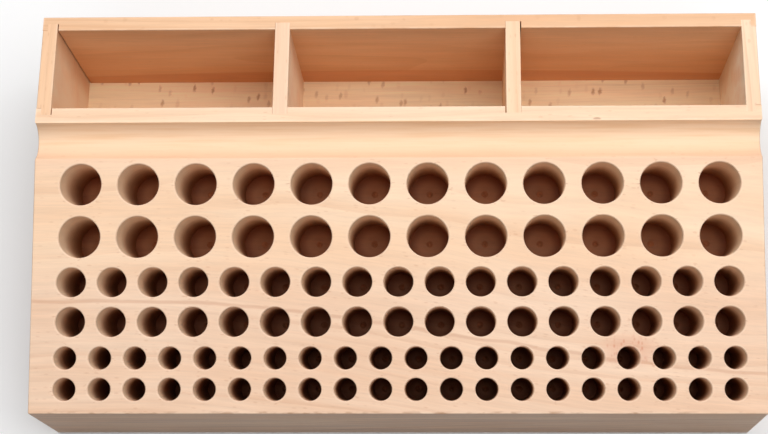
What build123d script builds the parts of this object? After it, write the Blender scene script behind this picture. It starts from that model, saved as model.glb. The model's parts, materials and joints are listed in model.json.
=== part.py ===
from build123d import *
import math
import os

# A wooden stand for slim hand tools: a drilled block with a sloped top, and a tray in three parts behind it.
# Millimetres and degrees. +X runs to the right, +Y from the low front to the tray, +Z up.
# The origin is the middle of the footprint, on the surface that the stand rests on.

# Outline of the drilled block
stand_width = 251.0
block_depth = 98.3  # front face to the tray's front board
rim_height = 60.0  # top of the tray, and of the block where it meets the tray
slope_edge_drop = 3.27  # from the rim down to the back edge of the drilled top
top_slope = 11.0  # the drilled top falls away from there to the front

# Cove between the drilled top and the rim
cove_width = 11.95  # from the drilled top's back edge to the rim
cove_depth = 4.45  # below the straight line from edge to edge
cove_ease = 1.4  # rounding of the drilled top's back edge, where it turns into the cove
rim_land = 0.3  # strip of the block left level with the rim

# Holes, bored square to the sloped top
small_hole = 7.8
small_pitch = 12.0
medium_hole = 10.2
medium_pitch = 14.06
large_hole = 14.4
large_pitch = 20.0
hole_depth = 32.0
row_offset = 0.7  # how far right of the block's middle the rows are centred
least_end_margin = 9.0  # from the block's end to the middle of the first hole, at the least

# Distances up the slope, from the top front edge to the first row and then from row to row
front_margin = 8.2
small_row_gap = 10.6
small_to_medium_gap = 12.3
medium_row_gap = 13.6
medium_to_large_gap = 15.6
large_row_gap = 18.2

# Traces of the bit in each hole
mouth_ease = 0.3  # sanded edge of the mouth
spur_mark_diameter = 2.4
spur_mark_depth = 1.2

# Tray boards, all from one stock
board_thickness = 5.2
tray_inner_depth = 29.3
middle_compartment_width = 75.8
floor_clearance = 5.5  # under the tray's floor panel
floor_thickness = 5.4

# Joints of the tray
housing_depth = 2.5  # how far boards and floor are let into their neighbours
end_lip = 1.8  # wood left outside the tongue of an end board
housing_play = 0.4  # a housing that was cut wide shows this gap on one side of its board

# Sanded edges
outer_ease = 0.5
rim_ease = 0.3

# Places worked out from the sizes
half_width = stand_width / 2
total_depth = block_depth + tray_inner_depth + 2 * board_thickness
front_y = -total_depth / 2
block_back_y = front_y + block_depth
tray_front_y = block_back_y + board_thickness
tray_back_y = tray_front_y + tray_inner_depth
back_y = tray_back_y + board_thickness
inner_half_width = half_width - board_thickness
divider_inner_x = middle_compartment_width / 2
floor_top = floor_clearance + floor_thickness
slope_rise = math.tan(math.radians(top_slope))
cove_back_y = block_back_y - rim_land
cove_front_y = cove_back_y - cove_width
cove_front_z = rim_height - slope_edge_drop
front_face_height = cove_front_z - (cove_front_y - front_y) * slope_rise

os.makedirs("parts", exist_ok=True)


def box_between(low, high):
    """A box from its lowest corner to its highest corner."""
    size = [b - a for a, b in zip(low, high)]
    middle = [(a + b) / 2 for a, b in zip(low, high)]
    return Pos(*middle) * Box(*size)


def edges_at(solid, direction=None, within=0.01, **places):
    """Edges whose middles lie at the given x, y or z, along one axis where a direction is given."""
    found = solid.edges().filter_by(direction) if direction else solid.edges()
    for name, place in places.items():
        found = [e for e in found if abs(getattr(e.center(), name.upper()) - place) < within]
    return list(found)


# Drilled block

def block_body():
    """The block without its holes: one side profile, drawn out to the full width."""
    corner = [
        (front_y, 0),
        (block_back_y, 0),
        (block_back_y, rim_height),
        (cove_back_y, rim_height),
    ]
    cove_front = (cove_front_y, cove_front_z)
    cove = SagittaArc(corner[3], cove_front, cove_depth)
    rest = Polyline(cove_front, (front_y, front_face_height), corner[0], *corner[1:])
    profile = Plane.YZ * make_face([*cove.edges(), *rest.edges()])
    body = extrude(profile, half_width, both=True)
    slope_middle_y = (front_y + cove_front_y) / 2
    slope_middle_z = (front_face_height + cove_front_z) / 2
    body = fillet(edges_at(body, Axis.X, y=cove_front_y, z=cove_front_z), cove_ease)
    eased = []
    eased += edges_at(body, Axis.X, y=front_y, z=front_face_height)
    eased += edges_at(body, Axis.X, y=front_y, z=0)
    for x in (-half_width, half_width):
        eased += edges_at(body, Axis.Z, x=x, y=front_y)
        eased += edges_at(body, Axis.Y, x=x, z=0)
        eased += edges_at(body, x=x, y=slope_middle_y, z=slope_middle_z, within=cove_ease)
    return fillet(eased, outer_ease)


def bit_shape(diameter):
    """What the bit takes out: eased mouth, straight wall, flat floor and the mark of the centre spur."""
    radius = diameter / 2
    mouth = radius + mouth_ease
    above = 2 * mouth_ease
    half = Polyline(
        (0, above),
        (mouth, above),
        (mouth, 0),
        (radius, -mouth_ease),
        (radius, -hole_depth),
        (spur_mark_diameter / 2, -hole_depth),
        (0, -hole_depth - spur_mark_depth),
        close=True,
    )
    return revolve(make_face(Plane.XZ * half), Axis.Z)


def hole_rows():
    """Each row as its distance up the slope, its hole's diameter and its pitch, from the front."""
    gaps = [
        (front_margin, small_hole, small_pitch),
        (small_row_gap, small_hole, small_pitch),
        (small_to_medium_gap, medium_hole, medium_pitch),
        (medium_row_gap, medium_hole, medium_pitch),
        (medium_to_large_gap, large_hole, large_pitch),
        (large_row_gap, large_hole, large_pitch),
    ]
    distance = 0
    for gap, diameter, pitch in gaps:
        distance += gap
        yield distance, diameter, pitch


def drilled_block():
    slope = Plane(
        origin=(0, front_y, front_face_height),
        x_dir=(1, 0, 0),
        z_dir=(0, -math.sin(math.radians(top_slope)), math.cos(math.radians(top_slope))),
    )
    cuts = []
    for distance, diameter, pitch in hole_rows():
        bit = bit_shape(diameter)
        count = int((stand_width - 2 * least_end_margin) // pitch) + 1
        for k in range(count):
            x = row_offset + (k - (count - 1) / 2) * pitch
            cuts.append(slope.location * Pos(x, distance, 0) * bit)
    return block_body() - cuts


# Tray boards

def floor_panel():
    """The floor panel, let into all four walls of the tray."""
    return box_between(
        (-inner_half_width - housing_depth, tray_front_y - housing_depth, floor_clearance),
        (inner_half_width + housing_depth, tray_back_y + housing_depth, floor_top),
    )


def end_board(side):
    """An end board: a tongue at each end, and a groove for the floor along its inner face."""
    outer_x = side * half_width
    inner_x = side * inner_half_width
    lip_x = side * (half_width - end_lip)
    low_x, high_x = sorted((outer_x, inner_x))
    board = box_between((low_x, tray_front_y, 0), (high_x, tray_back_y, rim_height))
    board = fillet(edges_at(board, Axis.Y, x=outer_x, z=rim_height), outer_ease)
    board = fillet(edges_at(board, Axis.Y, x=inner_x, z=rim_height), rim_ease)
    low_x, high_x = sorted((lip_x, inner_x))
    board += box_between(
        (low_x, tray_front_y - housing_depth, 0),
        (high_x, tray_front_y, rim_height),
    )
    board += box_between(
        (low_x, tray_back_y, 0),
        (high_x, tray_back_y + housing_depth, rim_height),
    )
    return board - floor_panel()


def divider(side):
    """A partition that stands on the floor, with its ends let into the front and back boards."""
    low_x, high_x = sorted((side * divider_inner_x, side * (divider_inner_x + board_thickness)))
    board = box_between(
        (low_x, tray_front_y - housing_depth, floor_top),
        (high_x, tray_back_y + housing_depth, rim_height),
    )
    for x in (low_x, high_x):
        board = fillet(edges_at(board, Axis.Y, x=x, z=rim_height), rim_ease)
    return board


def housing(board_low_x, board_high_x, low_z, wide_side, at_front):
    """The slot for one board's end. A wide side of -1 or +1 leaves the play on that side of the board."""
    low_x = board_low_x - housing_play * (wide_side < 0)
    high_x = board_high_x + housing_play * (wide_side > 0)
    above = rim_height + board_thickness
    if at_front:
        return box_between((low_x, tray_front_y - housing_depth, low_z), (high_x, tray_front_y, above))
    return box_between((low_x, tray_back_y, low_z), (high_x, tray_back_y + housing_depth, above))


def housings(at_front):
    """The four slots of a long board. The left end board's and the right divider's were cut wide."""
    tongue = (inner_half_width, half_width - end_lip)
    part = (divider_inner_x, divider_inner_x + board_thickness)
    right_divider_side = -1 if at_front else 1
    return [
        housing(-tongue[1], -tongue[0], 0, 1, at_front),
        housing(-part[1], -part[0], floor_top, 0, at_front),
        housing(part[0], part[1], floor_top, right_divider_side, at_front),
        housing(tongue[0], tongue[1], 0, 0, at_front),
    ]


def front_board():
    board = box_between((-half_width, block_back_y, 0), (half_width, tray_front_y, rim_height))
    board = fillet(edges_at(board, Axis.X, y=tray_front_y, z=rim_height), rim_ease)
    return board - [floor_panel(), *housings(True)]


def back_board():
    board = box_between((-half_width, tray_back_y, 0), (half_width, back_y, rim_height))
    board = fillet(edges_at(board, Axis.X, y=tray_back_y, z=rim_height), rim_ease)
    outer = edges_at(board, Axis.X, y=back_y, z=rim_height) + edges_at(board, Axis.X, y=back_y, z=0)
    for x in (-half_width, half_width):
        outer += edges_at(board, Axis.Z, x=x, y=back_y)
    board = fillet(outer, outer_ease)
    return board - [floor_panel(), *housings(False)]


pieces = {
    "drilled_block": drilled_block(),
    "tray_front_board": front_board(),
    "tray_back_board": back_board(),
    "left_end_board": end_board(-1),
    "right_end_board": end_board(1),
    "left_divider": divider(-1),
    "right_divider": divider(1),
    "tray_floor": floor_panel(),
}

for name, piece in pieces.items():
    export_step(piece, f"parts/{name}.step")
    print(name, len(piece.solids()), round(piece.volume, 1))
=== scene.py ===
import json
import math

import bmesh
import bpy
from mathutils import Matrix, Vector

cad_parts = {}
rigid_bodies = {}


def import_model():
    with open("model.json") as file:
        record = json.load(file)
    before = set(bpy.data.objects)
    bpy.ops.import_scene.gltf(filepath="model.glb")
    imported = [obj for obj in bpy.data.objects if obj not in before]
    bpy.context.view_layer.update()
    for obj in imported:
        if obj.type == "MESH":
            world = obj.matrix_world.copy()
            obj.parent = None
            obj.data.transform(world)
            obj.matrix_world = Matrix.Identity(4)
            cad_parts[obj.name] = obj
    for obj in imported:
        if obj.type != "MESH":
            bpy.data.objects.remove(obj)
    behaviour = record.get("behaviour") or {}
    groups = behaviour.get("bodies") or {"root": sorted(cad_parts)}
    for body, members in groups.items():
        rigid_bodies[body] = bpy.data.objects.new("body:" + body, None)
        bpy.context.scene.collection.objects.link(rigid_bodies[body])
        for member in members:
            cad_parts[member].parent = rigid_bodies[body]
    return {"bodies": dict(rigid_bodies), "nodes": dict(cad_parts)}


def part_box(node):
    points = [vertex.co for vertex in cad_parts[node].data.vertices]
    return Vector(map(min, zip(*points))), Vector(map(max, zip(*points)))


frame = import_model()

nodes = frame["nodes"]
for leftover in set(bpy.data.objects) - set(nodes.values()) - set(frame["bodies"].values()):
    bpy.data.objects.remove(leftover)
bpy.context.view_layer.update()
print("frame loaded:", len(nodes), "nodes")

millimetres = 1000  # in a metre
farAway = 1000.0  # mm, farther than any point of the stand


def linear(hexColour):
    channels = [int(hexColour[i:i + 2], 16) / 255 for i in (1, 3, 5)]
    return [c / 12.92 if c <= 0.04045 else ((c + 0.055) / 1.055) ** 2.4 for c in channels] + [1.0]


def addNode(tree, kind, links=None, **settings):
    node = tree.nodes.new(kind)
    for name, value in settings.items():
        setattr(node, name, value)
    for socket, value in (links or {}).items():
        if isinstance(value, bpy.types.NodeSocket):
            tree.links.new(value, node.inputs[socket])
        else:
            node.inputs[socket].default_value = value
    return node.outputs


def between(limits):
    # for a Map Range node: where something starts, and where it is full
    return {"From Min": limits[0], "From Max": limits[1]}


# Camera, where the photograph was taken from

cameraValues = {
    "place": (0.022736, -0.156225, 0.550492),
    "turn": (17.2848, 1.4469, 0.2517),  # degrees
    "lens": 71.229,
    "shift": (-0.05217, -0.00715),  # the photograph is cropped off its middle
    "nearest": 0.01,
}


def addCamera(values):
    data = bpy.data.cameras.new("camera")
    data.lens = values["lens"]
    data.shift_x, data.shift_y = values["shift"]
    data.clip_start = values["nearest"]
    camera = bpy.data.objects.new("camera", data)
    camera.location = values["place"]
    camera.rotation_euler = [math.radians(angle) for angle in values["turn"]]
    bpy.context.scene.collection.objects.link(camera)
    bpy.context.scene.camera = camera


addCamera(cameraValues)
bpy.context.scene.view_settings.view_transform = "Standard"
print("camera placed")


# Studio: a broad soft lamp above and behind, a long low one in front, a dim room and a pale floor

studioValues = {
    "lamps": {
        "topLamp": {"place": (0.12, 0.26, 0.92), "size": (2.0, 1.0), "power": 15.6},
        "frontLamp": {"place": (0.0, -0.65, 0.68), "size": (1.2, 0.4), "power": 2.0},
    },
    "aim": (0.0, 0.0, 0.03),
    "roomColour": "#F4F6FA",
    "roomStrength": 0.08,
    "floorColour": "#F8F8F8",  # as the camera sees it
    "floorBounce": "#828282",  # what it throws back at the object
    "floorSize": 6.0,
    "floorDrop": 0.0002,
}


def addStudio(values):
    for name, lampValues in values["lamps"].items():
        data = bpy.data.lights.new(name, "AREA")
        data.shape = "RECTANGLE"
        data.size, data.size_y = lampValues["size"]
        data.energy = lampValues["power"]
        lamp = bpy.data.objects.new(name, data)
        lamp.location = lampValues["place"]
        aim = Vector(values["aim"]) - Vector(lampValues["place"])
        lamp.rotation_euler = aim.to_track_quat("-Z", "Y").to_euler()
        bpy.context.scene.collection.objects.link(lamp)

    # the camera sees a white room, and the object is lit by a dim one
    world = bpy.data.worlds.new("room")
    world.use_nodes = True
    tree = world.node_tree
    tree.nodes.clear()
    rays = addNode(tree, "ShaderNodeLightPath")
    room = addNode(tree, "ShaderNodeBackground", {
        "Color": linear(values["roomColour"]), "Strength": values["roomStrength"]})
    white = addNode(tree, "ShaderNodeBackground", {"Color": (1, 1, 1, 1), "Strength": 1.0})
    mixed = addNode(tree, "ShaderNodeMixShader", {
        0: rays["Is Camera Ray"], 1: room[0], 2: white[0]})
    addNode(tree, "ShaderNodeOutputWorld", {"Surface": mixed[0]})
    bpy.context.scene.world = world

    # paper that looks nearly white, and throws less light back than it shows
    material = bpy.data.materials.new("paleFloorPaper")
    material.use_nodes = True
    tree = material.node_tree
    tree.nodes.clear()
    rays = addNode(tree, "ShaderNodeLightPath")
    seen = rays["Is Camera Ray"]
    for kind in ("Is Glossy Ray", "Is Transmission Ray"):
        seen = addNode(tree, "ShaderNodeMath", {0: seen, 1: rays[kind]}, operation="MAXIMUM")[0]
    colour = addNode(tree, "ShaderNodeMix", {
        0: seen, 6: linear(values["floorBounce"]), 7: linear(values["floorColour"])},
        data_type="RGBA")[2]
    paper = addNode(tree, "ShaderNodeBsdfDiffuse", {"Color": colour})
    addNode(tree, "ShaderNodeOutputMaterial", {"Surface": paper[0]})

    sheet = bmesh.new()
    bmesh.ops.create_grid(sheet, x_segments=1, y_segments=1, size=values["floorSize"] / 2)
    bmesh.ops.translate(sheet, vec=(0, 0, -values["floorDrop"]), verts=sheet.verts)
    mesh = bpy.data.meshes.new("floor")
    sheet.to_mesh(mesh)
    sheet.free()
    mesh.materials.append(material)
    floor = bpy.data.objects.new("floor", mesh)
    bpy.context.scene.collection.objects.link(floor)


addStudio(studioValues)
print("studio lit")


# Beech, planed and sanded: pale cream to peach, thin darker growth lines that end sharply, and fine
# darker rays, which show as dashes, or as short upright flecks where a board is cut along them.
# A cell is how far a pattern goes before it changes: along the grain, across and outwards, in mm.
# A pair of limits gives where something starts and where it is full.

beechValues = {
    "swayCell": (140, 35, 35),
    "sway": 4.0,  # mm that the growth lines wander
    "ringWidth": 2.3,  # mm that the tree grew in a year
    "ringLine": (0.45, 0.97),  # share of the year's growth, which darkens towards its end
    "yearCell": (200, 9, 9),
    "yearContrast": (0.38, 0.66),
    "faintestYear": 0.12,
    "rayCell": (3.4, 0.9, 10.0),
    "raySize": (0.34, 0.12),  # share of the cell
    "rayShare": 0.45,
    "heartDistance": 150,  # mm from the heart at which the rays are a cell apart
    "fibreCell": (14, 0.7, 0.7),  # four times as coarse as real fibres, so that they show
    "fibreContrast": (0.3, 0.7),
    "streakCell": (70, 2.6, 2.6),
    "patchCell": (90, 12, 12),
    "patchContrast": (0.35, 0.65),
    "cream": "#F7D6B6",
    "peach": "#F2CBA8",
    "lineColour": "#D9A57C",
    "lineShare": 0.42,
    "rayColour": "#C98F66",
    "rayDark": 0.28,
    "fibreShare": 0.055,
    "streakShare": 0.035,
    "endFacing": (0.6, 0.95),  # how squarely a face cuts the grain
    "endColour": "#DDB690",  # multiplied in
    "endShare": 0.9,
    "wearColour": "#FFE6CC",
    "wearShare": 0.35,
    "wearReach": (0.8, 0.15),  # mm of each arris that hands and sandpaper have touched
    "wearPatches": 0.11,  # to the mm
    "wearContrast": (0.35, 0.65),
    "wearPolish": 0.3,  # how much smoother a rubbed arris is
    "roughness": (0.52, 0.70),
    "index": 1.5,  # refraction of a bare wood surface
    "rayHollow": 0.5,  # how deep the rays sink, beside the height of the fibres
    "bumpHeight": 0.00006,
    "bumpStrength": 0.5,
}


def stretchedNoise(tree, place, cell, detail, roughness=0.5, output="Fac"):
    # soft blots, each about as long, wide and high as the cell
    stretched = addNode(tree, "ShaderNodeMapping", {
        "Vector": place, "Scale": [1 / size for size in cell]})[0]
    return addNode(tree, "ShaderNodeTexNoise", {
        "Vector": stretched, "Scale": 1.0, "Detail": detail, "Roughness": roughness})[output]


def arrisDistance(tree, gaps):
    # how far the nearest arris is: the second least of the distances to the faces
    least, second = gaps[0], farAway
    for gap in gaps[1:]:
        more = addNode(tree, "ShaderNodeMath", {0: least, 1: gap}, operation="MAXIMUM")[0]
        least = addNode(tree, "ShaderNodeMath", {0: least, 1: gap}, operation="MINIMUM")[0]
        second = addNode(tree, "ShaderNodeMath", {0: second, 1: more}, operation="MINIMUM")[0]
    return second


def startBeech(name, values, bend=None):
    material = bpy.data.materials.new(name)
    material.use_nodes = True
    tree = material.node_tree
    tree.nodes.clear()
    texture = addNode(tree, "ShaderNodeTexCoord")
    place = addNode(tree, "ShaderNodeMapping", {
        "Vector": texture["Object"], "Scale": (millimetres, millimetres, millimetres)})[0]
    bent = bend(tree, place, values) if bend else place

    # x along the grain, and the heart of the tree along the middle
    turn = math.radians(values["grainTurn"])
    grain = addNode(tree, "ShaderNodeMapping", {
        "Vector": bent,
        "Location": [-distance for distance in values["heart"]],
        "Rotation": (0, 0, turn),
    })[0]

    # a trunk is never quite straight, so the growth lines wander
    sway = stretchedNoise(tree, grain, values["swayCell"], 2.0, output="Color")
    sway = addNode(tree, "ShaderNodeVectorMath", {
        0: sway, 1: (0.5, 0.5, 0.5)}, operation="SUBTRACT")[0]
    wood = addNode(tree, "ShaderNodeVectorMath", {
        0: sway, 1: (0, 2 * values["sway"], 2 * values["sway"]), 2: grain},
        operation="MULTIPLY_ADD")[0]

    # growth rings: each goes slowly darker and ends in a thin line, in some years more than in
    # others (at a scale of 1 the waves are pi / 10 apart)
    rings = addNode(tree, "ShaderNodeTexWave", {
        "Vector": wood, "Scale": math.pi / 10 / values["ringWidth"], "Distortion": 0.0},
        wave_type="RINGS", rings_direction="X", wave_profile="SAW")["Fac"]
    line = addNode(tree, "ShaderNodeMapRange", {
        "Value": rings, **between(values["ringLine"])}, interpolation_type="SMOOTHSTEP")[0]
    years = addNode(tree, "ShaderNodeMapRange", {
        "Value": stretchedNoise(tree, wood, values["yearCell"], 1.0),
        **between(values["yearContrast"]), "To Min": values["faintestYear"], "To Max": 1.0})[0]
    line = addNode(tree, "ShaderNodeMath", {0: line, 1: years}, operation="MULTIPLY")[0]

    # rays: thin plates that stand outwards from the heart
    part = addNode(tree, "ShaderNodeSeparateXYZ", {"Vector": wood})
    across = addNode(tree, "ShaderNodeCombineXYZ", {"Y": part["Y"], "Z": part["Z"]})[0]
    radius = addNode(tree, "ShaderNodeVectorMath", {0: across}, operation="LENGTH")["Value"]
    angle = addNode(tree, "ShaderNodeMath", {0: part["Y"], 1: part["Z"]}, operation="ARCTAN2")[0]
    arc = addNode(tree, "ShaderNodeMath", {
        0: angle, 1: values["heartDistance"]}, operation="MULTIPLY")[0]
    polar = addNode(tree, "ShaderNodeCombineXYZ", {"X": part["X"], "Y": arc, "Z": radius})[0]
    cells = addNode(tree, "ShaderNodeMapping", {
        "Vector": polar, "Scale": [1 / size for size in values["rayCell"]]})[0]
    rays = addNode(tree, "ShaderNodeTexVoronoi", {"Vector": cells, "Scale": 1.0}, feature="F1")
    ray = addNode(tree, "ShaderNodeMapRange", {
        "Value": rays["Distance"], **between(values["raySize"])},
        interpolation_type="SMOOTHSTEP")[0]
    chance = addNode(tree, "ShaderNodeSeparateColor", {"Color": rays["Color"]})["Red"]
    chance = addNode(tree, "ShaderNodeMapRange", {
        "Value": chance, "From Min": 1 - values["rayShare"], "From Max": 1.0})[0]
    ray = addNode(tree, "ShaderNodeMath", {0: ray, 1: chance}, operation="MULTIPLY")[0]

    # fine fibres, broader streaks of them, and a slow change from cream to peach over the board
    fibre = stretchedNoise(tree, wood, values["fibreCell"], 4.0, 0.65)
    streak = stretchedNoise(tree, wood, values["streakCell"], 3.0, 0.6)
    patch = addNode(tree, "ShaderNodeMapRange", {
        "Value": stretchedNoise(tree, wood, values["patchCell"], 3.0, 0.55),
        **between(values["patchContrast"])})[0]
    colour = addNode(tree, "ShaderNodeMix", {
        0: patch, 6: linear(values["cream"]), 7: linear(values["peach"])}, data_type="RGBA")[2]
    for mask, strength, tint in ((line, "lineShare", "lineColour"), (ray, "rayDark", "rayColour")):
        share = addNode(tree, "ShaderNodeMath", {
            0: mask, 1: values[strength]}, operation="MULTIPLY")[0]
        colour = addNode(tree, "ShaderNodeMix", {
            0: share, 6: colour, 7: linear(values[tint])}, data_type="RGBA")[2]
    for noise, share in ((fibre, values["fibreShare"]), (streak, values["streakShare"])):
        tone = addNode(tree, "ShaderNodeMapRange", {
            "Value": noise, **between(values["fibreContrast"]),
            "To Min": 1 - share, "To Max": 1 + share})[0]
        colour = addNode(tree, "ShaderNodeVectorMath", {
            0: colour, "Scale": tone}, operation="SCALE")[0]

    # end grain drinks in more light, so it is darker and browner
    facing = addNode(tree, "ShaderNodeVectorMath", {
        0: texture["Normal"], 1: (math.cos(turn), -math.sin(turn), 0)},
        operation="DOT_PRODUCT")["Value"]
    facing = addNode(tree, "ShaderNodeMath", {0: facing}, operation="ABSOLUTE")[0]
    endGrain = addNode(tree, "ShaderNodeMapRange", {
        "Value": facing, **between(values["endFacing"]), "To Max": values["endShare"]},
        interpolation_type="SMOOTHSTEP")[0]

    smooth, rough = values["roughness"]
    rough = addNode(tree, "ShaderNodeMapRange", {
        "Value": fibre, **between(values["fibreContrast"]), "To Min": smooth, "To Max": rough})[0]
    height = addNode(tree, "ShaderNodeMath", {
        0: ray, 1: -values["rayHollow"], 2: fibre}, operation="MULTIPLY_ADD")[0]
    return {
        "material": material, "tree": tree,
        "place": place, "bent": bent, "normal": texture["Normal"],
        "colour": colour, "layers": [], "endGrain": endGrain, "rough": rough, "height": height,
    }


def finishBeech(look, values, gaps):
    tree = look["tree"]

    # arrises are rubbed paler and smoother, unevenly
    near = addNode(tree, "ShaderNodeMapRange", {
        "Value": arrisDistance(tree, gaps), **between(values["wearReach"])},
        interpolation_type="SMOOTHSTEP")[0]
    uneven = addNode(tree, "ShaderNodeTexNoise", {
        "Vector": look["place"], "Scale": values["wearPatches"], "Detail": 3.0})["Fac"]
    uneven = addNode(tree, "ShaderNodeMapRange", {
        "Value": uneven, **between(values["wearContrast"]), "To Max": values["wearShare"]})[0]
    wear = addNode(tree, "ShaderNodeMath", {0: near, 1: uneven}, operation="MULTIPLY")[0]
    rough = addNode(tree, "ShaderNodeMath", {
        0: wear, 1: -values["wearPolish"], 2: look["rough"]}, operation="MULTIPLY_ADD")[0]

    # the piece's own layers lie over the plain wood, then the end grain and the wear
    colour = look["colour"]
    ends = (look["endGrain"], values["endColour"], "MULTIPLY")
    for share, tint, blend in [*look["layers"], ends, (wear, values["wearColour"], "MIX")]:
        colour = addNode(tree, "ShaderNodeMix", {
            0: share, 6: colour, 7: linear(tint) if isinstance(tint, str) else tint},
            data_type="RGBA", blend_type=blend)[2]

    bump = addNode(tree, "ShaderNodeBump", {
        "Height": look["height"], "Strength": values["bumpStrength"],
        "Distance": values["bumpHeight"]})[0]
    shader = addNode(tree, "ShaderNodeBsdfPrincipled", {
        "Base Color": colour, "Roughness": rough, "IOR": values["index"], "Normal": bump})
    addNode(tree, "ShaderNodeOutputMaterial", {"Surface": shader[0]})
    return look["material"]


# Drilled block: one thick plank, its heart below and behind, so the sloped top shows broad figure

blockValues = {
    **beechValues,
    "heart": (0, 60, -60),
    "grainTurn": 0,
    "lineShare": 0.30,
    "halfWidth": 125.5,
    "frontEdge": (-69.0, 40.0036),  # y and z of the top front edge
    "slope": 11.0,  # degrees
    "rows": (  # distance up the slope, diameter, pitch and number of the holes
        (8.2, 7.8, 12.0, 20),
        (18.8, 7.8, 12.0, 20),
        (31.1, 10.2, 14.06, 17),
        (44.7, 10.2, 14.06, 17),
        (60.3, 14.4, 20.0, 12),
        (78.5, 14.4, 20.0, 12),
    ),
    "rowShift": 0.7,  # mm that the rows sit to the right of the middle
    "rowReach": 119.4,  # mm from the rows' middle, farther than any hole
    "holeDepth": 32.0,
    "spurDepth": 2.0,  # mm below that, deeper than the mark of the bit's spur
    "topDepth": (0.45, 0.30),  # mm below the slope where the top ends
    "bendDrop": 24.5,  # mm that the growth lines come forward from left to right
    "bendReach": (-90.0, 140.0),  # x
    "bendFade": (30.0, -40.0),  # y
    "yearLine": (-31.4, 47.3),  # y and z where one dark year meets the left of the top
    "yearWidth": (0.45, 0.10),  # mm to each side
    "yearWander": 1.4,
    "wanderCell": (22, 30, 30),
    "darkYearShare": 0.36,
    "darkYearColour": "#C98E66",
    "figurePlace": (79.0, -48.0),  # middle of the patch where the grain dips
    "figureSize": (13.0, 7.0),
    "figureEdge": (1.0, 0.3),  # share of that size
    "figureFleck": (1.1, 2.0, 2.0),  # mm to the next fleck
    "figureFleckSize": (0.45, 0.15),  # share of that
    "figureFaint": 0.35,  # tone of the patch between its flecks
    "figureColour": "#DE9A7A",
    # painted shade: the front of the slope is darker in tone
    "frontShadeReach": (60.0, 35.0),  # mm up the slope
    "frontShadeColour": "#F7F5F9",  # multiplied in
    "backReach": (80.0, 88.0),  # mm up the slope
    "backShare": 0.28,
    "backColour": "#F3C0A2",
    "crestReach": (15.5, 19.5),  # y, just in front of the cove
    "crestShare": 0.38,
    "crestColour": "#F0C09A",
    # painted light: the back of the cove, under the rim, is paler, with fine grain lines in it
    "coveReach": (19.5, 26.0),  # y
    "coveShare": 0.88,
    "coveLightColour": "#FFDCB9",
    "coveGrainCell": (28, 1.1, 1.1),
    "coveGrainContrast": (0.42, 0.68),
    "coveGrainShare": 0.6,
    "coveGrainColour": "#F3C594",
    "sawnDepth": 1.0,  # mm behind the front face
    "sawnFacing": (-0.6, -0.9),  # how squarely a face looks to the front
    "sawnCell": (60, 9, 2.4),
    "sawnContrast": (0.40, 0.62),
    "sawnShare": 0.35,
    "cleanerReach": (20.0, 120.0),  # x along which the front comes cleaner
    "cleanest": 0.2,
    "sawnColour": "#C0A298",
    "nickCell": (5, 1.5, 1.5),
    "nickContrast": (0.50, 0.62),
    "nickReach": (1.1, 0.3),  # mm from the top front edge
    "nickShare": 0.6,
    "nickColour": "#B5835F",
    # a paler ring round each mouth: sanding wear, and painted highlight on the eased edge
    "mouthRing": (0.75, 0.25),  # mm from the wall of a hole
    "mouthShare": 0.3,
    "mouthWearAndHighlightColour": "#FFE2C8",
    "tornCell": (2.2, 0.8, 0.8),
    "tornContrast": (0.66, 0.74),
    "tornReach": (2.2, 0.8),
    "tornShare": 0.4,
    "bitCell": (18, 18, 0.5),  # rings that the turning bit left
    "bitShare": 0.10,
    # painted light on the hole walls that face left and right, near the mouth
    "wallFacing": (0.3, 0.95),  # how squarely it looks to the left or right
    "sideWallLightShare": 0.7,
    "sideWallLightColour": "#F3DDC0",
    "wallEndGrain": 0.15,  # how much of the end grain's tone shows in a hole
    # painted shade inside the holes, browner and darker with depth
    "holeShadeColour": "#BA987A",  # multiplied into the wall of a hole, deep down
    "holeEdge": 0.25,  # mm outside the wall that still count as the hole
    "holeEdgeDepth": (0.1, 0.4),  # mm below the slope
    # how fast the painted shade in the holes deepens
    "girthPlaces": (13.0, 69.0),  # mm up the slope, amid the front rows and amid the back rows
    "girths": (7.0, 14.4),  # width of their holes, as far as the dark goes
    "holeShadeDepth": (0.3, 2.4),  # depth, in such widths
    # painted shade on the floors of the holes: least in their middle, and darker and redder overall
    "floorEdge": 0.2,  # mm above the floor that count as the floor
    "floorMiddle": 4.0,  # mm from the wall where it is lightest
    "floorShadeEase": 0.7,  # share of the darkness that it loses there
    "holeFloorShadeColour": "#F8CFB4",  # multiplied in
}


def bendBlock(tree, place, values):
    # the trunk leant: its growth lines run forward to the right, most of all near the front
    part = addNode(tree, "ShaderNodeSeparateXYZ", {"Vector": place})
    lean = addNode(tree, "ShaderNodeMapRange", {
        "Value": part["X"], **between(values["bendReach"])},
        interpolation_type="SMOOTHSTEP")[0]
    fade = addNode(tree, "ShaderNodeMapRange", {
        "Value": part["Y"], **between(values["bendFade"])},
        interpolation_type="SMOOTHSTEP")[0]
    amount = addNode(tree, "ShaderNodeMath", {0: lean, 1: fade}, operation="MULTIPLY")[0]
    drop = values["bendDrop"]
    rise = drop * math.tan(math.radians(values["slope"]))
    return addNode(tree, "ShaderNodeVectorMath", {
        0: (0, drop, rise), 1: amount, 2: place}, operation="MULTIPLY_ADD")[0]


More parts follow.
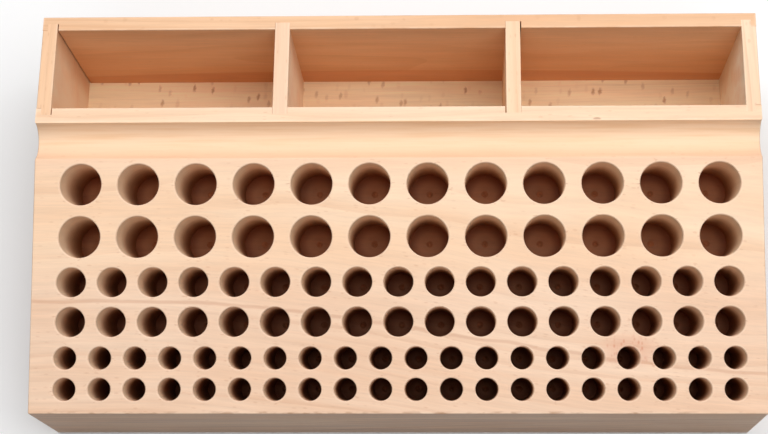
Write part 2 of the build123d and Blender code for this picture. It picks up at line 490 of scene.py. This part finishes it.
def surveyBlock(look, values):
    # places and facings on the block, and how far along, up and below the slope each point lies
    tree = look["tree"]
    slope = math.radians(values["slope"])
    y, z = values["frontEdge"]
    look["part"] = addNode(tree, "ShaderNodeSeparateXYZ", {"Vector": look["place"]})
    look["facing"] = addNode(tree, "ShaderNodeSeparateXYZ", {"Vector": look["normal"]})
    look["onSlope"] = addNode(tree, "ShaderNodeMapping", {
        "Vector": look["place"],
        "Rotation": (-slope, 0, 0),
        "Location": (
            0,
            -(y * math.cos(slope) + z * math.sin(slope)),
            y * math.sin(slope) - z * math.cos(slope),
        ),
    })[0]
    onSlope = addNode(tree, "ShaderNodeSeparateXYZ", {"Vector": look["onSlope"]})
    look["up"] = onSlope["Y"]
    look["depth"] = addNode(tree, "ShaderNodeMath", {
        0: onSlope["Z"], 1: -1.0}, operation="MULTIPLY")[0]

    # distance from the wall of the nearest hole, less than nothing inside it
    across = addNode(tree, "ShaderNodeMath", {
        0: onSlope["X"], 1: values["rowShift"]}, operation="SUBTRACT")[0]
    wall = farAway
    for distance, diameter, pitch, count in values["rows"]:
        step = addNode(tree, "ShaderNodeMath", {
            0: across, 1: 1 / pitch, 2: 0.5 * (count % 2)}, operation="MULTIPLY_ADD")[0]
        step = addNode(tree, "ShaderNodeMath", {0: step}, operation="FRACT")[0]
        aside = addNode(tree, "ShaderNodeMath", {
            0: step, 1: pitch, 2: -pitch / 2}, operation="MULTIPLY_ADD")[0]
        along = addNode(tree, "ShaderNodeMath", {
            0: look["up"], 1: distance}, operation="SUBTRACT")[0]
        away = addNode(tree, "ShaderNodeCombineXYZ", {"X": aside, "Y": along})[0]
        away = addNode(tree, "ShaderNodeVectorMath", {0: away}, operation="LENGTH")["Value"]
        away = addNode(tree, "ShaderNodeMath", {0: away, 1: diameter / 2}, operation="SUBTRACT")[0]
        wall = addNode(tree, "ShaderNodeMath", {0: wall, 1: away}, operation="MINIMUM")[0]
    look["wall"] = wall
    inRows = addNode(tree, "ShaderNodeMath", {0: across}, operation="ABSOLUTE")[0]
    look["inRows"] = addNode(tree, "ShaderNodeMath", {
        0: inRows, 1: values["rowReach"]}, operation="LESS_THAN")[0]


def darkYear(look, values):
    # one year was dark: a ring that the top, the front and the ends all cut
    tree, heart = look["tree"], values["heart"]
    grain = addNode(tree, "ShaderNodeMapping", {
        "Vector": look["bent"], "Location": [-distance for distance in heart],
        "Scale": (0, 1, 1)})[0]
    ring = addNode(tree, "ShaderNodeVectorMath", {0: grain}, operation="LENGTH")["Value"]
    wander = stretchedNoise(tree, look["place"], values["wanderCell"], 3.0)
    ring = addNode(tree, "ShaderNodeMath", {
        0: wander, 1: values["yearWander"], 2: ring}, operation="MULTIPLY_ADD")[0]
    y, z = values["yearLine"]
    radius = math.hypot(y - heart[1], z - heart[2]) + values["yearWander"] / 2
    ring = addNode(tree, "ShaderNodeMath", {0: ring, 1: radius}, operation="SUBTRACT")[0]
    ring = addNode(tree, "ShaderNodeMath", {0: ring}, operation="ABSOLUTE")[0]
    ring = addNode(tree, "ShaderNodeMapRange", {
        "Value": ring, **between(values["yearWidth"]), "To Max": values["darkYearShare"]},
        interpolation_type="SMOOTHSTEP")[0]
    return [(ring, values["darkYearColour"], "MIX")]


def dippedGrain(look, values):
    # a patch where the grain dips: pinker, with tiny upright flecks
    tree = look["tree"]
    x, y = values["figurePlace"]
    wide, deep = values["figureSize"]
    patch = addNode(tree, "ShaderNodeMapping", {
        "Vector": look["place"], "Location": (-x / wide, -y / deep, 0),
        "Scale": (1 / wide, 1 / deep, 0)})[0]
    patch = addNode(tree, "ShaderNodeVectorMath", {0: patch}, operation="LENGTH")["Value"]
    patch = addNode(tree, "ShaderNodeMapRange", {
        "Value": patch, **between(values["figureEdge"])}, interpolation_type="SMOOTHSTEP")[0]
    flecks = addNode(tree, "ShaderNodeMapping", {
        "Vector": look["place"], "Scale": [1 / size for size in values["figureFleck"]]})[0]
    flecks = addNode(tree, "ShaderNodeTexVoronoi", {
        "Vector": flecks, "Scale": 1.0}, feature="F1")["Distance"]
    flecks = addNode(tree, "ShaderNodeMapRange", {
        "Value": flecks, **between(values["figureFleckSize"]),
        "To Min": values["figureFaint"], "To Max": 1.0})[0]
    flecks = addNode(tree, "ShaderNodeMath", {0: flecks, 1: patch}, operation="MULTIPLY")[0]
    return [(flecks, values["figureColour"], "MIX")]


def blockTones(look, values):
    # painted shade deeper along the front, peachier by the cove, and in the cove painted light,
    # paler, with fine golden grain lines
    tree, y = look["tree"], look["part"]["Y"]
    lines = addNode(tree, "ShaderNodeMapRange", {
        "Value": stretchedNoise(tree, look["place"], values["coveGrainCell"], 3.0),
        **between(values["coveGrainContrast"]), "To Max": values["coveGrainShare"]})[0]
    coveLightAndGrain = addNode(tree, "ShaderNodeMix", {
        0: lines, 6: linear(values["coveLightColour"]), 7: linear(values["coveGrainColour"])},
        data_type="RGBA")[2]
    tones = []
    for along, reach, share, tint, blend in (
        (look["up"], "frontShadeReach", 1.0, values["frontShadeColour"], "MULTIPLY"),
        (look["up"], "backReach", values["backShare"], values["backColour"], "MIX"),
        (y, "crestReach", values["crestShare"], values["crestColour"], "MIX"),
        (y, "coveReach", values["coveShare"], coveLightAndGrain, "MIX"),
    ):
        mask = addNode(tree, "ShaderNodeMapRange", {
            "Value": along, **between(values[reach]), "To Max": share},
            interpolation_type="SMOOTHSTEP")[0]
        tones.append((mask, tint, blend))
    return tones


def frontMarks(look, values):
    # the front kept some of the saw's long greyish streaks, and its top edge took small knocks
    tree, part = look["tree"], look["part"]
    sawn = addNode(tree, "ShaderNodeMapRange", {
        "Value": look["facing"]["Y"], **between(values["sawnFacing"])})[0]
    atFront = addNode(tree, "ShaderNodeMath", {
        0: part["Y"], 1: values["frontEdge"][0] + values["sawnDepth"]}, operation="LESS_THAN")[0]
    cleaner = addNode(tree, "ShaderNodeMapRange", {
        "Value": part["X"], **between(values["cleanerReach"]), "To Min": 1.0,
        "To Max": values["cleanest"]})[0]
    streaks = addNode(tree, "ShaderNodeMapRange", {
        "Value": stretchedNoise(tree, look["place"], values["sawnCell"], 3.0),
        **between(values["sawnContrast"]), "To Max": values["sawnShare"]})[0]
    for mask in (atFront, cleaner, streaks):
        sawn = addNode(tree, "ShaderNodeMath", {0: sawn, 1: mask}, operation="MULTIPLY")[0]

    nick = addNode(tree, "ShaderNodeMapRange", {
        "Value": stretchedNoise(tree, look["place"], values["nickCell"], 2.0),
        **between(values["nickContrast"]), "To Max": values["nickShare"]})[0]
    edge = addNode(tree, "ShaderNodeMath", {0: look["up"]}, operation="ABSOLUTE")[0]
    edge = addNode(tree, "ShaderNodeMath", {0: edge, 1: look["depth"]}, operation="MAXIMUM")[0]
    edge = addNode(tree, "ShaderNodeMapRange", {
        "Value": edge, **between(values["nickReach"])}, interpolation_type="SMOOTHSTEP")[0]
    nick = addNode(tree, "ShaderNodeMath", {0: nick, 1: edge}, operation="MULTIPLY")[0]
    return [(sawn, values["sawnColour"], "MIX"), (nick, values["nickColour"], "MIX")]


def holeMouths(look, values):
    # mouths are sanded: a paler ring, which also serves as a painted highlight on the eased edge,
    # with the odd torn fibre
    tree = look["tree"]
    onTop = addNode(tree, "ShaderNodeMapRange", {
        "Value": look["depth"], **between(values["topDepth"])})[0]
    onTop = addNode(tree, "ShaderNodeMath", {0: onTop, 1: look["inRows"]}, operation="MULTIPLY")[0]
    mouthWearAndHighlight = addNode(tree, "ShaderNodeMapRange", {
        "Value": look["wall"], **between(values["mouthRing"]), "To Max": values["mouthShare"]},
        interpolation_type="SMOOTHSTEP")[0]
    mouthWearAndHighlight = addNode(tree, "ShaderNodeMath", {0: mouthWearAndHighlight, 1: onTop}, operation="MULTIPLY")[0]

    torn = addNode(tree, "ShaderNodeMapRange", {
        "Value": stretchedNoise(tree, look["place"], values["tornCell"], 1.0),
        **between(values["tornContrast"]), "To Max": values["tornShare"]})[0]
    close = addNode(tree, "ShaderNodeMapRange", {
        "Value": look["wall"], **between(values["tornReach"])})[0]
    for mask in (close, onTop):
        torn = addNode(tree, "ShaderNodeMath", {0: torn, 1: mask}, operation="MULTIPLY")[0]
    return [(mouthWearAndHighlight, values["mouthWearAndHighlightColour"], "MIX"), (torn, values["rayColour"], "MIX")]


def holeInsides(look, values):
    # painted light on the side walls near the mouth, and painted shade that goes browner and darker
    # with depth
    tree, depth, wall = look["tree"], look["depth"], look["wall"]
    inside = addNode(tree, "ShaderNodeMath", {
        0: wall, 1: values["holeEdge"]}, operation="LESS_THAN")[0]
    shallow = addNode(tree, "ShaderNodeMath", {
        0: depth, 1: values["holeDepth"] + values["spurDepth"]}, operation="LESS_THAN")[0]
    below = addNode(tree, "ShaderNodeMapRange", {
        "Value": depth, **between(values["holeEdgeDepth"])})[0]
    for mask in (look["inRows"], shallow, below):
        inside = addNode(tree, "ShaderNodeMath", {0: inside, 1: mask}, operation="MULTIPLY")[0]

    # the painted shade comes sooner in the narrower rows at the front
    narrow, wide = values["girths"]
    girth = addNode(tree, "ShaderNodeMapRange", {
        "Value": look["up"], **between(values["girthPlaces"]),
        "To Min": narrow, "To Max": wide})[0]
    deep = addNode(tree, "ShaderNodeMath", {0: depth, 1: girth}, operation="DIVIDE")[0]
    deep = addNode(tree, "ShaderNodeMapRange", {
        "Value": deep, **between(values["holeShadeDepth"])}, interpolation_type="SMOOTHSTEP")[0]

    # painted light: the walls to the left and right are paler near the mouth, fading as the painted
    # shade deepens
    sideways = addNode(tree, "ShaderNodeMath", {0: look["facing"]["X"]}, operation="ABSOLUTE")[0]
    sideways = addNode(tree, "ShaderNodeMapRange", {
        "Value": sideways, **between(values["wallFacing"]), "To Max": values["sideWallLightShare"]},
        interpolation_type="SMOOTHSTEP")[0]
    paintedWallLight = addNode(tree, "ShaderNodeMapRange", {"Value": deep, "To Min": 1.0, "To Max": 0.0})[0]
    for mask in (inside, sideways):
        paintedWallLight = addNode(tree, "ShaderNodeMath", {0: paintedWallLight, 1: mask}, operation="MULTIPLY")[0]

    # the painted shade eases in the floor's middle, so the floor stays darker by the wall, and the
    # floor takes a darker, redder painted shade of its own
    bottom = addNode(tree, "ShaderNodeMath", {
        0: depth, 1: values["holeDepth"] - values["floorEdge"]}, operation="GREATER_THAN")[0]
    bottom = addNode(tree, "ShaderNodeMath", {0: bottom, 1: inside}, operation="MULTIPLY")[0]
    middle = addNode(tree, "ShaderNodeMapRange", {
        "Value": wall, "From Min": 0.0, "From Max": -values["floorMiddle"],
        "To Max": -values["floorShadeEase"]},
        interpolation_type="SMOOTHSTEP")[0]
    lighter = addNode(tree, "ShaderNodeMath", {
        0: bottom, 1: middle, 2: 1.0}, operation="MULTIPLY_ADD")[0]
    for mask in (lighter, inside):
        deep = addNode(tree, "ShaderNodeMath", {0: deep, 1: mask}, operation="MULTIPLY")[0]

    # the bit left fine rings, and end grain shows less plainly than outside
    bitRings = stretchedNoise(tree, look["onSlope"], values["bitCell"], 2.0)
    tone = addNode(tree, "ShaderNodeMapRange", {
        "Value": bitRings, **between(values["fibreContrast"]),
        "To Min": 1 - values["bitShare"], "To Max": 1 + values["bitShare"]})[0]
    look["height"] = addNode(tree, "ShaderNodeMix", {
        0: inside, 2: look["height"], 3: bitRings}, data_type="FLOAT")[0]
    outside = addNode(tree, "ShaderNodeMapRange", {
        "Value": inside, "To Min": 1.0, "To Max": values["wallEndGrain"]})[0]
    look["endGrain"] = addNode(tree, "ShaderNodeMath", {
        0: look["endGrain"], 1: outside}, operation="MULTIPLY")[0]
    return [
        (inside, tone, "MULTIPLY"),
        (paintedWallLight, values["sideWallLightColour"], "MIX"),
        (deep, values["holeShadeColour"], "MULTIPLY"),
        (bottom, values["holeFloorShadeColour"], "MULTIPLY"),
    ]


def dressBlock(values):
    look = startBeech("beechBlock", values, bendBlock)
    surveyBlock(look, values)
    for layersOf in (darkYear, dippedGrain, blockTones, frontMarks, holeMouths, holeInsides):
        look["layers"] += layersOf(look, values)

    tree, part = look["tree"], look["part"]
    aside = addNode(tree, "ShaderNodeMath", {0: part["X"]}, operation="ABSOLUTE")[0]
    toEnd = addNode(tree, "ShaderNodeMath", {
        0: values["halfWidth"], 1: aside}, operation="SUBTRACT")[0]
    toFront = addNode(tree, "ShaderNodeMath", {
        0: part["Y"], 1: values["frontEdge"][0]}, operation="SUBTRACT")[0]
    toTop = addNode(tree, "ShaderNodeMath", {0: look["depth"]}, operation="ABSOLUTE")[0]
    return finishBeech(look, values, [toEnd, toFront, toTop, part["Z"]])


nodes["drilled_block"].data.materials[0] = dressBlock(blockValues)
print("block dressed")


# Tray boards: thin stock of the same wood, each from another place in the tree

def boardGaps(look, name, axes="XYZ"):
    # distances to the outer faces of a straight board, across the axes given
    tree = look["tree"]
    low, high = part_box(name)
    middle = (Vector(low) + Vector(high)) / 2 * millimetres
    half = (Vector(high) - Vector(low)) / 2 * millimetres
    aside = addNode(tree, "ShaderNodeVectorMath", {
        0: look["place"], 1: middle}, operation="SUBTRACT")[0]
    aside = addNode(tree, "ShaderNodeVectorMath", {0: aside}, operation="ABSOLUTE")[0]
    gaps = addNode(tree, "ShaderNodeVectorMath", {0: half, 1: aside}, operation="SUBTRACT")[0]
    part = addNode(tree, "ShaderNodeSeparateXYZ", {"Vector": gaps})
    return [part[axis] for axis in axes]


frontBoardValues = {
    **beechValues,
    "heart": (400, 90, -60),
    "grainTurn": 0,
    "chipPlace": (69.0, 29.6, 60.0),
    "chipSize": (1.6, 0.6, 1.2),
    "chipEdge": (1.1, 0.5),  # share of that size
    "chipShare": 0.8,
    "chipColour": "#A9714B",
}


def dressFrontBoard(values):
    look = startBeech("beechFrontBoard", values)
    tree = look["tree"]

    # a chip out of the rim's front edge
    chip = addNode(tree, "ShaderNodeMapping", {
        "Vector": look["place"],
        "Location": [-place / size for place, size in zip(values["chipPlace"], values["chipSize"])],
        "Scale": [1 / size for size in values["chipSize"]]})[0]
    chip = addNode(tree, "ShaderNodeVectorMath", {0: chip}, operation="LENGTH")["Value"]
    chip = addNode(tree, "ShaderNodeMapRange", {
        "Value": chip, **between(values["chipEdge"]), "To Max": values["chipShare"]},
        interpolation_type="SMOOTHSTEP")[0]
    look["layers"] = [(chip, values["chipColour"], "MIX")]
    return finishBeech(look, values, boardGaps(look, "tray_front_board"))


nodes["tray_front_board"].data.materials[0] = dressFrontBoard(frontBoardValues)


backBoardValues = {
    **beechValues,
    "heart": (-300, 190, 20),
    "grainTurn": 0,
    "cream": "#ECC099",
    "peach": "#E5B389",
    "bandHeight": 22.0,  # top of the darker band in the middle of the board, mm
    "bandEdge": 0.4,  # mm above and below that it takes to fade
    "bandFall": 0.00033,  # how fast it falls away to the ends
    "bandColour": "#F5E3D8",  # multiplied in
    # the broad faces are more golden, and darker lower down as painted shade
    "faceColour": "#F6E9D8",  # multiplied into the broad faces
    "faceShadeReach": (58.0, 40.0),  # z below which they take it, and where they take it fully
    "faceLeast": 0.6,
}


def dressBackBoard(values):
    look = startBeech("beechBackBoard", values)
    tree = look["tree"]

    # a darker, redder band along the bottom, with an arched upper edge
    part = addNode(tree, "ShaderNodeSeparateXYZ", {"Vector": look["place"]})
    arch = addNode(tree, "ShaderNodeMath", {0: part["X"], 1: part["X"]}, operation="MULTIPLY")[0]
    arch = addNode(tree, "ShaderNodeMath", {
        0: arch, 1: values["bandFall"], 2: part["Z"]}, operation="MULTIPLY_ADD")[0]
    top, edge = values["bandHeight"], values["bandEdge"]
    band = addNode(tree, "ShaderNodeMapRange", {
        "Value": arch, "From Min": top + edge, "From Max": top - edge})[0]

    # the broad faces are more golden than the sanded edges, and lower down the tint deepens as
    # painted shade
    facing = addNode(tree, "ShaderNodeSeparateXYZ", {"Vector": look["normal"]})["Y"]
    facing = addNode(tree, "ShaderNodeMath", {0: facing}, operation="ABSOLUTE")[0]
    low = addNode(tree, "ShaderNodeMapRange", {
        "Value": part["Z"], **between(values["faceShadeReach"]),
        "To Min": values["faceLeast"], "To Max": 1.0})[0]
    facing = addNode(tree, "ShaderNodeMath", {0: facing, 1: low}, operation="MULTIPLY")[0]
    look["layers"] = [
        (band, values["bandColour"], "MULTIPLY"),
        (facing, values["faceColour"], "MULTIPLY"),
    ]
    return finishBeech(look, values, boardGaps(look, "tray_back_board"))


nodes["tray_back_board"].data.materials[0] = dressBackBoard(backBoardValues)


crossBoardValues = {
    **beechValues,
    "grainTurn": -90,
    "trayReach": 123.0,  # mm from the middle: a face beyond it looks out of the stand
    "planedFacing": (0.6, 0.9),  # how squarely a face looks to the left or right
    "planedCell": (8, 8, 14),
    "planedContrast": (0.35, 0.6),
    "planedShare": (0.35, 0.9),
    # painted shade: the inner faces darken into the tray's back corners
    "cornerShadeReach": (54.0, 63.0),  # y over which the faces darken to the back corner
    "cornerShadeShare": 0.5,
    "cornerShadeColour": "#D2AE8C",  # multiplied in
    "boards": {
        "left_end_board": {
            "heart": (100, 40, -90),
            "cream": "#F3C9A2", "peach": "#ECBD95", "planedColour": "#F1D6B6"},
        "right_end_board": {
            "heart": (-200, 60, -90),
            "cream": "#F7D6B6", "peach": "#F0C8A4", "planedColour": "#FFF6E0"},
        "left_divider": {
            "heart": (300, -40, -110),
            "cream": "#F5D2B2", "peach": "#F0C6A6", "planedColour": "#F7DFC2"},
        "right_divider": {
            "heart": (-500, 50, -70),
            "cream": "#F5D0AC", "peach": "#EFC39E", "planedColour": "#F0CFA8"},
    },
}


def dressCrossBoard(name, values):
    look = startBeech("beech_" + name, values)
    tree = look["tree"]

    # the faces inside the tray were left as planed, across the rays, which greys them in patches
    part = addNode(tree, "ShaderNodeSeparateXYZ", {"Vector": look["place"]})
    facing = addNode(tree, "ShaderNodeSeparateXYZ", {"Vector": look["normal"]})["X"]
    facing = addNode(tree, "ShaderNodeMath", {0: facing}, operation="ABSOLUTE")[0]
    facing = addNode(tree, "ShaderNodeMapRange", {
        "Value": facing, **between(values["planedFacing"])})[0]
    inTray = addNode(tree, "ShaderNodeMath", {0: part["X"]}, operation="ABSOLUTE")[0]
    inTray = addNode(tree, "ShaderNodeMath", {
        0: inTray, 1: values["trayReach"]}, operation="LESS_THAN")[0]
    facing = addNode(tree, "ShaderNodeMath", {0: facing, 1: inTray}, operation="MULTIPLY")[0]
    low, high = values["planedShare"]
    patches = addNode(tree, "ShaderNodeMapRange", {
        "Value": stretchedNoise(tree, look["place"], values["planedCell"], 3.0),
        **between(values["planedContrast"]), "To Min": low, "To Max": high})[0]
    planed = addNode(tree, "ShaderNodeMath", {0: facing, 1: patches}, operation="MULTIPLY")[0]
    # painted shade towards the back corner
    cornerShade = addNode(tree, "ShaderNodeMapRange", {
        "Value": part["Y"], **between(values["cornerShadeReach"]), "To Max": values["cornerShadeShare"]},
        interpolation_type="SMOOTHSTEP")[0]
    cornerShade = addNode(tree, "ShaderNodeMath", {0: cornerShade, 1: facing}, operation="MULTIPLY")[0]
    look["layers"] = [
        (planed, values["planedColour"], "MIX"),
        (cornerShade, values["cornerShadeColour"], "MULTIPLY"),
    ]
    return finishBeech(look, values, boardGaps(look, name, "XZ"))


for name, changes in crossBoardValues["boards"].items():
    nodes[name].data.materials[0] = dressCrossBoard(name, {**crossBoardValues, **changes})


floorPanelValues = {
    **beechValues,
    "heart": (50, 170, 5),
    "grainTurn": 0,
    "cream": "#FFE9C0",
    "peach": "#FFDAB0",
    "streakShare": 0.07,
    "rayShare": 0.3,
    "fleckCell": (6.5, 7.0),  # mm to the next fleck
    "fleckSize": (0.65, 1.5),  # half its width and length
    "fleckEdge": (1.4, 0.3),  # share of that size
    "fleckSlant": 8.0,  # degrees
    "fleckWaves": 0.9,  # to the mm, along its ragged edge
    "fleckRagged": (0.18, 0.22, 0),  # share of the cell that the edge strays
    "fleckShare": 0.7,
    "fleckTone": (0.1, 0.75),  # the faintest fleck and the darkest
    "fleckColour": "#B27C50",
}


def dressFloorPanel(values):
    look = startBeech("beechFloorPanel", values)
    tree = look["tree"]

    # cut along the rays, which cross the grain as short dark flecks
    cellX, cellY = values["fleckCell"]
    halfX, halfY = values["fleckSize"]
    cells = addNode(tree, "ShaderNodeMapping", {
        "Vector": look["place"], "Rotation": (0, 0, math.radians(values["fleckSlant"])),
        "Scale": (1 / cellX, 1 / cellY, 0)})[0]
    voronoi = addNode(tree, "ShaderNodeTexVoronoi", {
        "Vector": cells, "Scale": 1.0}, feature="F1", voronoi_dimensions="2D")
    away = addNode(tree, "ShaderNodeVectorMath", {
        0: cells, 1: voronoi["Position"]}, operation="SUBTRACT")[0]
    ragged = addNode(tree, "ShaderNodeTexNoise", {
        "Vector": look["place"], "Scale": values["fleckWaves"], "Detail": 2.0})["Color"]
    ragged = addNode(tree, "ShaderNodeVectorMath", {
        0: ragged, 1: (0.5, 0.5, 0.5)}, operation="SUBTRACT")[0]
    away = addNode(tree, "ShaderNodeVectorMath", {
        0: ragged, 1: values["fleckRagged"], 2: away}, operation="MULTIPLY_ADD")[0]
    away = addNode(tree, "ShaderNodeVectorMath", {
        0: away, 1: (cellX / halfX, cellY / halfY, 0)}, operation="MULTIPLY")[0]
    away = addNode(tree, "ShaderNodeVectorMath", {0: away}, operation="LENGTH")["Value"]
    fleck = addNode(tree, "ShaderNodeMapRange", {
        "Value": away, **between(values["fleckEdge"])}, interpolation_type="SMOOTHSTEP")[0]
    faint, dark = values["fleckTone"]
    chance = addNode(tree, "ShaderNodeSeparateColor", {"Color": voronoi["Color"]})["Green"]
    chance = addNode(tree, "ShaderNodeMapRange", {
        "Value": chance, "From Min": 1 - values["fleckShare"], "From Max": 1.0,
        "To Min": faint, "To Max": dark})[0]
    fleck = addNode(tree, "ShaderNodeMath", {0: fleck, 1: chance}, operation="MULTIPLY")[0]
    look["layers"] = [(fleck, values["fleckColour"], "MIX")]
    return finishBeech(look, values, boardGaps(look, "tray_floor"))


nodes["tray_floor"].data.materials[0] = dressFloorPanel(floorPanelValues)
print("tray dressed")
